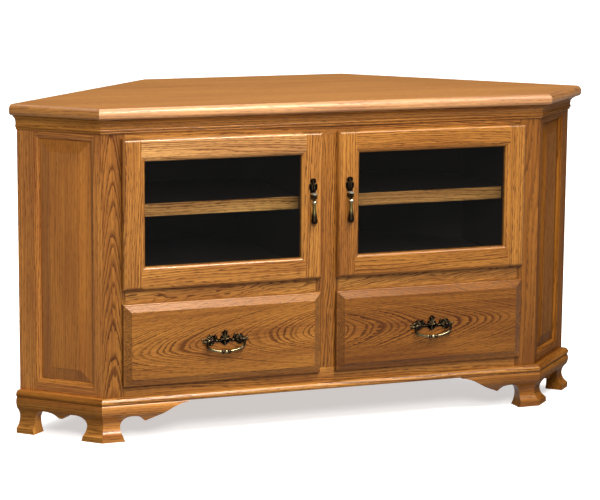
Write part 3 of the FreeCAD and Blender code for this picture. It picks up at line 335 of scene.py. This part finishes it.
def makeGlass(name):
    material, tree = startMaterial(name)
    place = addNode(tree, "TexCoord", {}).outputs["Object"]
    smearScale = 1 / (floatGlass["smear"] * mm)
    smear = addNode(tree, "TexNoise", {"Vector": place, "Scale": smearScale, "Detail": 2.0}).outputs[0]
    smoothest, roughest = floatGlass["roughness"]
    finishMaterial(tree, {
        "Base Color": tone(floatGlass["tone"]),
        "Roughness": addNode(tree, "MapRange", {0: smear, 3: smoothest, 4: roughest}).outputs[0],
        "Alpha": floatGlass["alpha"],
        "IOR": floatGlass["ior"],
    })
    material.surface_render_method = "BLENDED"
    return material


# antiqued cast brass: blackened in the hollows, rubbed bright on the high parts; the stops of the bail,
# flange and collar also hold painted highlight; stops run along one axis
brass = {
    "patina": "#231A12",
    "mottle": 3.846,  # mm, coarser than real so that it shows
    "mottleRoughness": 0.2,  # added in the patina
}


def makeBrass(name, axis, start, end, stops, roughness):
    material, tree = startMaterial(name)
    place = addNode(tree, "TexCoord", {}).outputs["Object"]
    along = addNode(tree, "SeparateXYZ", {0: place}).outputs[axis]
    share = addNode(tree, "MapRange", {0: along, 1: start, 2: end}).outputs[0]
    ramp = addNode(tree, "ValToRGB", {0: share})
    elements = ramp.color_ramp.elements
    for spot, _ in stops[1:-1]:
        elements.new(spot)
    for element, (spot, hexColour) in zip(elements, stops):
        element.position = spot
        element.color = tone(hexColour)
    mottleScale = 1 / (brass["mottle"] * mm)
    mottle = addNode(tree, "TexNoise", {"Vector": place, "Scale": mottleScale, "Detail": 3.0}).outputs[0]
    patina = addNode(tree, "MapRange", {0: mottle, 1: 0.5, 2: 0.75, 3: 0.0, 4: 0.7}).outputs[0]
    tones = {0: patina, 6: ramp.outputs[0], 7: tone(brass["patina"])}
    colour = addNode(tree, "Mix", tones, data_type="RGBA").outputs[2]
    roughest = roughness + brass["mottleRoughness"]
    rough = addNode(tree, "MapRange", {0: mottle, 3: roughness, 4: roughest}).outputs[0]
    finishMaterial(tree, {"Base Color": colour, "Roughness": rough, "Metallic": 1.0})
    return material


# the grain direction of each oak piece, the way its face looks, its cut, and its tone against the rest; the
# tones are partly painted light and shade, lighter where the light falls and darker where it falls off
leaning = Vector((1, 0, 0.06)).normalized()  # grain that climbs a little to the right
boards = {
    "top_panel": (rightward, frontOut, "rift", 1.12),
    "bottom_panel": (rightward, upward, "veneer", 0.8),
    "slide_spacers": (backward, rightward, "rift", 0.8),
    "crown_moulding_front": (rightward, frontOut, "rift", 0.85),
    # the ends' crown, base and brackets are painted lighter here for the lit left end than the right end's
    # copies further down: painted light and painted shade
    "crown_moulding_sides": (rightAlong, rightOut, "rift", 1.35),
    "base_moulding_front": (rightward, frontOut, "rift", 1.0),
    "base_moulding_sides": (rightAlong, rightOut, "rift", 0.95),
    "front_brackets": (rightward, frontOut, "rift", 1.3),
    "side_brackets": (rightAlong, rightOut, "rift", 1.3),
    "rear_feet": (upward, backward, "rift", 0.9),
    "face_frame_end_stiles": (upward, frontOut, "pointed", 0.74),
    "face_frame_top_rail": (rightward, frontOut, "wavy", 0.95),
    "face_frame_bottom_rail": (rightward, frontOut, "rift", 0.95),
    "face_frame_centre_stile": (upward, frontOut, "wavy", 0.74),
    "face_frame_middle_rails": (leaning, frontOut, "flame", 1.2),
    "left_end_stiles": (upward, leftOut, "rift", 1.06),
    "left_end_rails": (leftAlong, leftOut, "rift", 1.0),
    "left_end_panel": (upward, leftOut, "rift", 0.78),
    # the right end is painted darker than the left end: painted shade, as it is turned from the light
    "right_end_stiles": (upward, rightOut, "rift", 0.58),
    "right_end_rails": (rightAlong, rightOut, "rift", 0.58),
    "right_end_panel": (upward, rightOut, "rift", 0.61),
    # the shelf edgings are painted much brighter: painted light, for the light that reaches them through
    # the glass
    "left_shelf": (rightward, frontOut, "rift", 2.2),
    "right_shelf": (rightward, frontOut, "rift", 2.2),
    "left_door_stiles": (upward, frontOut, "rift", 1.0),
    "left_door_rails": (rightward, frontOut, "wavy", 1.14),
    "left_door_glass_stops": (rightward, frontOut, "rift", 1.0),
    "left_drawer_front": (leaning, frontOut, "arched", 0.76),
    # the right door's stiles and rails are painted darker than the left door's: painted shade where the
    # light falls off to the right
    "right_door_stiles": (upward, frontOut, "rift", 0.84),
    "right_door_rails": (rightward, frontOut, "wavy", 0.82),
    "right_door_glass_stops": (rightward, frontOut, "rift", 1.0),
    "right_drawer_front": (rightward, frontOut, "arching", 0.57),
}
paired = ("crown_moulding_sides", "base_moulding_sides", "side_brackets")  # one board at each end
cornerStile = 0.556  # m from the middle of the cabinet


def middle(node):
    low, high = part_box(node)
    return (low + high) / 2


def dress(piece, material):
    piece.data.materials.clear()
    piece.data.materials.append(material)


finishes = {
    "dark_board": makeFibred("dark_board_painted_shade", shadeDarkBoard),
    "drawer_wood": makeFibred("birch_and_poplar", drawerWood),
    "glass": makeGlass("float_glass"),
    "steel": makeFibred("zinc_plated_steel", zincPlate),
}
for seed, (node, piece) in enumerate(cadNodes.items()):
    if node in boards:
        along, facing, cut, tint = boards[node]
        centre = middle(node)
        if node == "face_frame_end_stiles":  # only the left one is cut through the heart
            centre.x -= cornerStile
        stain = stains.get(node, oak)
        board = makeOak("red_oak_" + node, along, facing, centre, cut, seed, tint, stain, node in paired)
        dress(piece, board)
    elif slotOf[node] in finishes:
        dress(piece, finishes[slotOf[node]])
print("oak, dark board, drawer wood, glass and steel")


def addObject(name, data):
    thing = bpy.data.objects.new(name, data)
    bpy.context.scene.collection.objects.link(thing)
    return thing


def standFor(node, name, data):
    piece = addObject(name, data)
    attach(piece, bodyOf[node])
    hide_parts(node)


# nodes that hold unlike boards: a copy with more oaks, and a rule that gives each face its board
def makeUnlikeBoards(node, name, others, boardOf):
    data = cadNodes[node].data.copy()
    for other in others:
        data.materials.append(other)
    for face in data.polygons:
        face.material_index = boardOf(face)
    standFor(node, name, data)


# the top is a veneered board with solid edgings, mitred at the front corners
flatTop = 0.999  # least upward share of a face of the veneer
endAside = 0.4  # least sideways share of a face of an end's edging
edging = {  # grain, face, cut, seed, tone, stain, and whether it is folded
    "red_oak_veneer": (rightward, upward, "veneer", 3, 0.73, topOak, False),
    "red_oak_end_nose": (rightAlong, rightOut, "rift", 4, 0.9, noseOak, True),
}


def edgingOf(face):
    outward = face.normal.xy
    if face.normal.z > flatTop:
        return 1
    return 2 if outward.y < 0 and abs(outward.x) > endAside * outward.length else 0


edgingOaks = []
for name, (along, facing, *rest) in edging.items():
    edgingOaks.append(makeOak(name, along, facing, middle("top_panel"), *rest))
makeUnlikeBoards("top_panel", "top_panel_edged", edgingOaks, edgingOf)

# the left door's top rail is painted paler than its other rails: a painted highlight where the light falls
# on it
railMiddle = middle("left_door_rails")
topRail = {"cut": "wavy", "seed": 5, "tint": 1.14, "stain": paleHighlitOak, "folded": False}


def railOf(face):
    return int(face.center.z > railMiddle.z)


highlitRailBoard = makeOak("red_oak_top_rail", rightward, frontOut, railMiddle, **topRail)
makeUnlikeBoards("left_door_rails", "left_door_rails_unlike", [highlitRailBoard], railOf)

# the right corner and base take calmer boards, painted darker than the left: painted shade where the light
# falls off to the right
rightBoards = {  # grain, face, tone and stain
    "face_frame_end_stiles": (upward, frontOut, 0.57, calmOak),
    "front_brackets": (rightward, frontOut, 0.84, calmOak),
    "crown_moulding_sides": (rightAlong, rightOut, 0.72, shadyOak),
    "base_moulding_sides": (rightAlong, rightOut, 0.64, shadyOak),
    "side_brackets": (rightAlong, rightOut, 0.66, shadyOak),
}
firstRightSeed = 70


def sideOf(face):
    return int(face.center.x > 0)


for seed, (node, (along, facing, tint, stain)) in enumerate(rightBoards.items(), firstRightSeed):
    name = "red_oak_right_" + node
    board = makeOak(name, along, facing, middle(node), "rift", seed, tint, stain, node in paired)
    makeUnlikeBoards(node, node + "_unlike", [board], sideOf)
print("top, highlit rail and right boards")


weldGap = 0.005  # mm
flatAngle = 0.5  # degrees, flatter edges are dissolved
smoothAngle = 30  # degrees, sharper edges stay crisp


def copyOf(node):
    mesh = bmesh.new()
    mesh.from_mesh(cadNodes[node].data)
    bmesh.ops.remove_doubles(mesh, verts=mesh.verts, dist=weldGap * mm)
    bmesh.ops.dissolve_limit(mesh, angle_limit=math.radians(flatAngle), verts=mesh.verts, edges=mesh.edges)
    return mesh


def settle(mesh, name, node, materials):
    data = bpy.data.meshes.new(name)
    mesh.to_mesh(data)
    mesh.free()
    data.polygons.foreach_set("use_smooth", [True] * len(data.polygons))
    data.set_sharp_from_angle(angle=math.radians(smoothAngle))
    for material in materials:
        data.materials.append(material)
    standFor(node, name, data)


# shelves: an oak edging, its arrises softened, before a board painted near-black as painted shade
shelf = {
    "edging": 20.5,  # mm of oak at the front
    "arris": 1.2,  # mm
    "sharp": 1,  # radians, the least turn of an edge that is softened
}


def makeShelf(node):
    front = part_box(node)[0].y + shelf["edging"] * mm

    def inEdging(part):
        return max(vert.co.y for vert in part.verts) < front

    mesh = copyOf(node)
    sharp = [edge for edge in mesh.edges if inEdging(edge) and edge.calc_face_angle(0) > shelf["sharp"]]
    arris = shelf["arris"] * mm
    bmesh.ops.bevel(mesh, geom=sharp, offset=arris, affect="EDGES", segments=2, profile=0.5, material=-1)
    for face in mesh.faces:
        face.material_index = 0 if inEdging(face) else 1
    settle(mesh, node + "_edged", node, [cadNodes[node].data.materials[0], finishes["dark_board"]])


for node in ("left_shelf", "right_shelf"):
    makeShelf(node)
print("shelves")


# cast ornament: a ground sunk inside a rim, and leaves, rings and beads that stand on it
casting = {
    "flush": 0.05,  # mm from the plate's front plane
    "ahead": 0.99,  # least forward share of a face of the front
    "ringSides": 8,
    "ringSteps": 28,
    "leafSides": 16,
    "leafSteps": 8,
}


def sinkFront(mesh, plane, rim, depth):
    flush = casting["flush"] * mm
    fronts = [face for face in mesh.faces if face.normal.y < -casting["ahead"]]
    fronts = [face for face in fronts if abs(face.calc_center_median().y - plane) < flush]
    plate = max(fronts, key=lambda face: face.calc_area())
    bmesh.ops.inset_region(mesh, faces=[plate], thickness=rim * mm, depth=-depth * mm, use_even_offset=True)


def addRing(mesh, centre, radius, wire):
    seat = Matrix.Translation(centre + rightward * radius)
    start = bmesh.ops.create_circle(mesh, segments=casting["ringSides"], radius=wire, matrix=seat)
    edges = list({edge for vert in start["verts"] for edge in vert.link_edges})
    full = {"axis": backward, "angle": math.tau, "steps": casting["ringSteps"]}
    bmesh.ops.spin(mesh, geom=edges, cent=centre, **full, use_merge=True)


def addLeaf(mesh, spot, length, width, turn, thick):
    seat = Matrix.Translation(spot) @ Matrix.Rotation(math.radians(turn), 4, "Y")
    size = Matrix.Diagonal((width / 2 * mm, thick * mm, length / 2 * mm, 1))
    sides = casting["leafSides"]
    steps = casting["leafSteps"]
    bmesh.ops.create_uvsphere(mesh, u_segments=sides, v_segments=steps, radius=1, matrix=seat @ size)


def addLeaves(mesh, centre, leaves, thick):
    for side in (-1, 1):
        for along, up, length, width, turn in leaves:
            if along or side > 0:  # one on the middle line is made once
                spot = centre + Vector((side * along, 0, up)) * mm
                addLeaf(mesh, spot, length, width, side * turn, thick)


# drawer pulls: a blackened plate with a palmette, rosettes and leaves, and a bail rubbed bright, painted
# brighter on its left arm than its right as painted highlight and painted shade
pull = {  # sizes in mm
    "thick": 2.5,
    "rim": 1.3,
    "sunk": 0.7,
    "relief": 1.5,
    "postHalf": 37.5,  # from the middle to each post
    "bailEye": 2.9,  # from a post's middle to the bail's top
    "ring": 9.0,
    "ringWire": 0.7,  # share of the relief
    "petals": 10,
    "petalReach": 6.4,
    "petalSize": (4.4, 2.6),  # length and width
    "leaves": [  # along and up from the middle, length, width, turn in degrees
        (0, 9, 20, 5.0, 0),
        (3.8, 6, 15, 4.0, 32),
        (5.2, 0.5, 12, 3.6, 66),
        (0, -9, 8, 3.6, 0),
        (24.5, 8, 11, 3.2, 6),
        (21, -2.0, 9, 2.6, 80),
        (49, 3, 10, 3.4, 138),
        (50, -4.5, 11, 3.0, 112),
        (36, 11, 7, 2.6, 90),
        (34, -10.5, 8, 2.6, 84),
        (55.5, 1.5, 12, 3.6, 74),
        (53.5, -2.5, 9, 2.8, 102),
    ],
    "beads": [  # along and up from the middle, radius
        (11, -2.6, 1.0),
        (14, -2.3, 1.2),
        (27.5, 0, 1.1),
        (46.5, 7.5, 1.0),
        (0, -14, 0.9),
    ],
    "plateTones": [  # from the sunken ground out to toneReach before the plate
        (0.0, "#14110F"),
        (0.06, "#2A221B"),
        (0.14, "#5A4A32"),
        (0.19, "#94805A"),
        (0.26, "#3C3026"),
        (1.0, "#30261F"),
    ],
    "toneReach": 12,
    "plateRoughness": 0.2,
    "bailTonesWithLight": [  # from one post to the other; the left arm is painted brighter than the right: painted highlight and painted shade
        (0.02, "#2E251B"),
        (0.12, "#8F8360"),
        (0.36, "#AFA27C"),
        (0.385, "#3A3024"),
        (0.46, "#4A3E2C"),
        (0.48, "#AFA27C"),
        (0.52, "#AFA27C"),
        (0.54, "#4A3E2C"),
        (0.615, "#3A3024"),
        (0.64, "#A3966F"),
        (0.88, "#6F6448"),
        (0.98, "#2E251B"),
    ],
    "bailRoughness": 0.16,
}
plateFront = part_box("left_drawer_front")[0].y - pull["thick"] * mm
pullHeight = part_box("left_drawer_bail")[1].z - pull["bailEye"] * mm
plateGround = plateFront + pull["sunk"] * mm
plateReach = plateFront - pull["toneReach"] * mm
plateTones = pull["plateTones"]
plateBrass = makeBrass("blackened_brass", "Y", plateGround, plateReach, plateTones, pull["plateRoughness"])


def makePullPlate(node):
    mesh = copyOf(node)
    sinkFront(mesh, plateFront, pull["rim"], pull["sunk"])
    centre = Vector((middle(node).x, plateFront, pullHeight))
    relief = pull["relief"]
    for side in (-1, 1):
        post = centre + Vector((side * pull["postHalf"] * mm, 0, 0))
        addRing(mesh, post, pull["ring"] * mm, relief * pull["ringWire"] * mm)
        for count in range(pull["petals"]):
            angle = math.tau * count / pull["petals"]
            petal = post + Vector((math.sin(angle), 0, math.cos(angle))) * pull["petalReach"] * mm
            addLeaf(mesh, petal, *pull["petalSize"], math.degrees(angle), relief)
    beads = [(along, up, 2 * radius, 2 * radius, 0) for along, up, radius in pull["beads"]]
    addLeaves(mesh, centre, pull["leaves"] + beads, relief)
    bmesh.ops.recalc_face_normals(mesh, faces=mesh.faces)
    settle(mesh, node + "_cast", node, [plateBrass])


for side in ("left", "right"):
    dress(cadNodes[side + "_drawer_pull_plate"], plateBrass)
    makePullPlate(side + "_drawer_pull_plate")
    low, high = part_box(side + "_drawer_bail")
    name = "rubbed_highlit_brass_" + side
    bailBrass = makeBrass(name, "X", low.x, high.x, pull["bailTonesWithLight"], pull["bailRoughness"])
    dress(cadNodes[side + "_drawer_bail"], bailBrass)
print("drawer pulls")

# door pulls: a blackened spade plate with leaves and a bright flange, a drop with a bright collar and a
# darker bulb; the flange and the collar are painted near-white, partly polished brass and partly a painted
# highlight
spade = {  # sizes in mm
    "rim": 1.1,
    "sunk": 0.6,
    "relief": 0.8,
    "leaves": [  # along and up from the drop's pivot, length, width, turn in degrees
        (0, 34, 17, 4.2, 0),
        (4.2, 30, 10, 3.2, 28),
        (3.0, 21, 9, 2.8, 16),
    ],
    "flangeUp": 4.5,  # above the pivot, where the canopy's bright edge begins, painted near-white: polish and painted highlight
    "flangeOut": 1,  # before the plate
    "flangeTones": [(0.0, "#E6DCC0"), (1.0, "#E6DCC0")],
    "flangeRoughness": 0.28,
    "dropEye": 4.6,  # from the pivot to the drop's top
    "dropLength": 68,
    "dropTones": [  # from the pivot down; the near-white collar is partly a painted highlight
        (0.0, "#2A2119"),
        (0.12, "#3A2F20"),
        (0.15, "#CFC4A4"),
        (0.22, "#CFC4A4"),
        (0.25, "#9A8A58"),
        (0.5, "#85774A"),
        (0.7, "#3A2C20"),
        (1.0, "#2A1F18"),
    ],
    "dropRoughness": 0.26,
}
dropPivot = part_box("left_door_drop")[1].z - spade["dropEye"] * mm
dropFoot = dropPivot - spade["dropLength"] * mm
brightBrass = makeBrass("polished_highlit_brass", "Z", 0.0, 1.0, spade["flangeTones"], spade["flangeRoughness"])


def makeSpadePlate(node):
    mesh = copyOf(node)
    flangeFront = plateFront - spade["flangeOut"] * mm
    flangeFoot = dropPivot + spade["flangeUp"] * mm
    for face in mesh.faces:
        spot = face.calc_center_median()
        face.material_index = 1 if spot.y < flangeFront and spot.z > flangeFoot else 0
    sinkFront(mesh, plateFront, spade["rim"], spade["sunk"])
    centre = Vector((middle(node).x, plateFront, dropPivot))
    addLeaves(mesh, centre, spade["leaves"], spade["relief"])
    bmesh.ops.recalc_face_normals(mesh, faces=mesh.faces)
    settle(mesh, node + "_cast", node, [plateBrass, brightBrass])


for side in ("left", "right"):
    dress(cadNodes[side + "_door_pull_plate"], plateBrass)
    makeSpadePlate(side + "_door_pull_plate")
    name = "toned_highlit_brass_" + side
    dropBrass = makeBrass(name, "Z", dropPivot, dropFoot, spade["dropTones"], spade["dropRoughness"])
    dress(cadNodes[side + "_door_drop"], dropBrass)
print("door pulls")

# pale floor and soft studio light
studio = {
    "floor": "#D8D6D2",
    "floorSize": 160.0,  # m
    "floorRoughness": 0.9,
    "floorGlow": 0.55,  # keeps the shadow under the cabinet light
    "white": "#FFFFFF",
    "zenith": 0.3,  # brightness overhead
    "horizon": 0.1,
    "ground": 0.46,  # what the floor throws back at the cabinet
    "wash": 3.9,  # W per square metre on the floor alone, to keep it pale all round
    "washAngle": 70,  # degrees, for a soft shadow under the cabinet
    "lights": [  # name, place, aim, width and depth in m, watts
        ("key", (-0.7, -2.7, 1.85), (0.0, 0.0, 0.4), 0.9, 0.9, 67),
        ("sheen", (0.3, -1.7, 2.6), (-0.1, -0.3, 0.6), 0.9, 0.9, 72),
        ("glint", (0.75, -1.75, 2.55), (0.1, -0.3, 0.6), 2.0, 0.7, 70),
        ("above", (-0.3, 0.9, 2.7), (0.0, 0.0, 0.8), 1.5, 0.8, 24),
    ],
    "mirroredOnly": ("glint",),  # lights that only show in what shines
}


def makeFloor():
    mesh = bmesh.new()
    bmesh.ops.create_grid(mesh, x_segments=1, y_segments=1, size=studio["floorSize"] / 2)
    data = bpy.data.meshes.new("floor")
    mesh.to_mesh(data)
    mesh.free()
    floor = addObject("floor", data)
    floor.visible_diffuse = False
    floor.visible_glossy = False
    material, tree = startMaterial("pale_studio_paper")
    finishMaterial(tree, {
        "Base Color": tone(studio["floor"]),
        "Roughness": studio["floorRoughness"],
        "Specular IOR Level": 0.0,
        "Emission Color": tone(studio["white"]),
        "Emission Strength": studio["floorGlow"],
    })
    dress(floor, material)
    lamp = bpy.data.lights.new("wash", "SUN")
    lamp.energy = studio["wash"]
    lamp.angle = math.radians(studio["washAngle"])
    wash = addObject("wash", lamp)
    receivers = bpy.data.collections.new("washed")
    receivers.objects.link(floor)
    wash.light_linking.receiver_collection = receivers


def makeWorld():
    world = bpy.data.worlds.new("studio")
    world.use_nodes = True
    tree = world.node_tree
    ray = addNode(tree, "TexCoord", {}).outputs["Generated"]
    height = addNode(tree, "SeparateXYZ", {0: ray}).outputs[2]
    sky = addNode(tree, "MapRange", {0: height, 3: studio["horizon"], 4: studio["zenith"]}).outputs[0]
    below = addNode(tree, "Math", {0: height, 1: 0.0}, operation="LESS_THAN").outputs[0]
    glow = addNode(tree, "Mix", {0: below, 2: sky, 3: studio["ground"]}).outputs[0]
    seen = addNode(tree, "LightPath", {}).outputs["Is Camera Ray"]
    glow = addNode(tree, "Mix", {0: seen, 2: glow, 3: 1.0}).outputs[0]  # white where the camera looks past
    backdrop = tree.nodes["Background"].inputs
    tree.links.new(glow, backdrop["Strength"])
    backdrop["Color"].default_value = tone(studio["white"])
    bpy.context.scene.world = world


def makeLights():
    for name, place, aim, width, depth, watts in studio["lights"]:
        lamp = bpy.data.lights.new(name, "AREA")
        lamp.shape = "RECTANGLE"
        lamp.size = width
        lamp.size_y = depth
        lamp.energy = watts
        light = addObject(name, lamp)
        beam = Vector(aim) - Vector(place)
        light.matrix_world = Matrix.Translation(place) @ beam.to_track_quat("-Z", "Y").to_matrix().to_4x4()
        light.visible_diffuse = name not in studio["mirroredOnly"]


# the photograph's viewpoint
camera = {
    "place": (-2.0540, -5.4780, 1.4200),
    "yaw": 20.905,  # degrees to the right of straight on
    "pitch": 9.97,  # degrees down
    "roll": 0.45,
    "focalPixels": 2281,
    "imageWidth": 600,
    "sensor": 36.0,  # mm
    "farthest": 200,  # m
}


def makeCamera():
    yaw, pitch, roll = (math.radians(camera[angle]) for angle in ("yaw", "pitch", "roll"))
    ahead = Vector((math.sin(yaw) * math.cos(pitch), math.cos(yaw) * math.cos(pitch), -math.sin(pitch)))
    level = Vector((math.cos(yaw), -math.sin(yaw), 0))
    plumb = level.cross(ahead)
    side = level * math.cos(roll) + plumb * math.sin(roll)
    top = plumb * math.cos(roll) - level * math.sin(roll)
    lens = bpy.data.cameras.new("photograph")
    lens.sensor_width = camera["sensor"]
    lens.lens = camera["focalPixels"] / camera["imageWidth"] * camera["sensor"]
    lens.clip_end = camera["farthest"]
    eye = addObject("photograph", lens)
    aim = Matrix((side, top, -ahead)).transposed().to_4x4()
    eye.matrix_world = Matrix.Translation(camera["place"]) @ aim
    bpy.context.scene.camera = eye


makeFloor()
makeWorld()
makeLights()
makeCamera()
bpy.context.scene.view_settings.view_transform = "Standard"  # keeps the oak's tones as they were mixed
print("studio and camera")
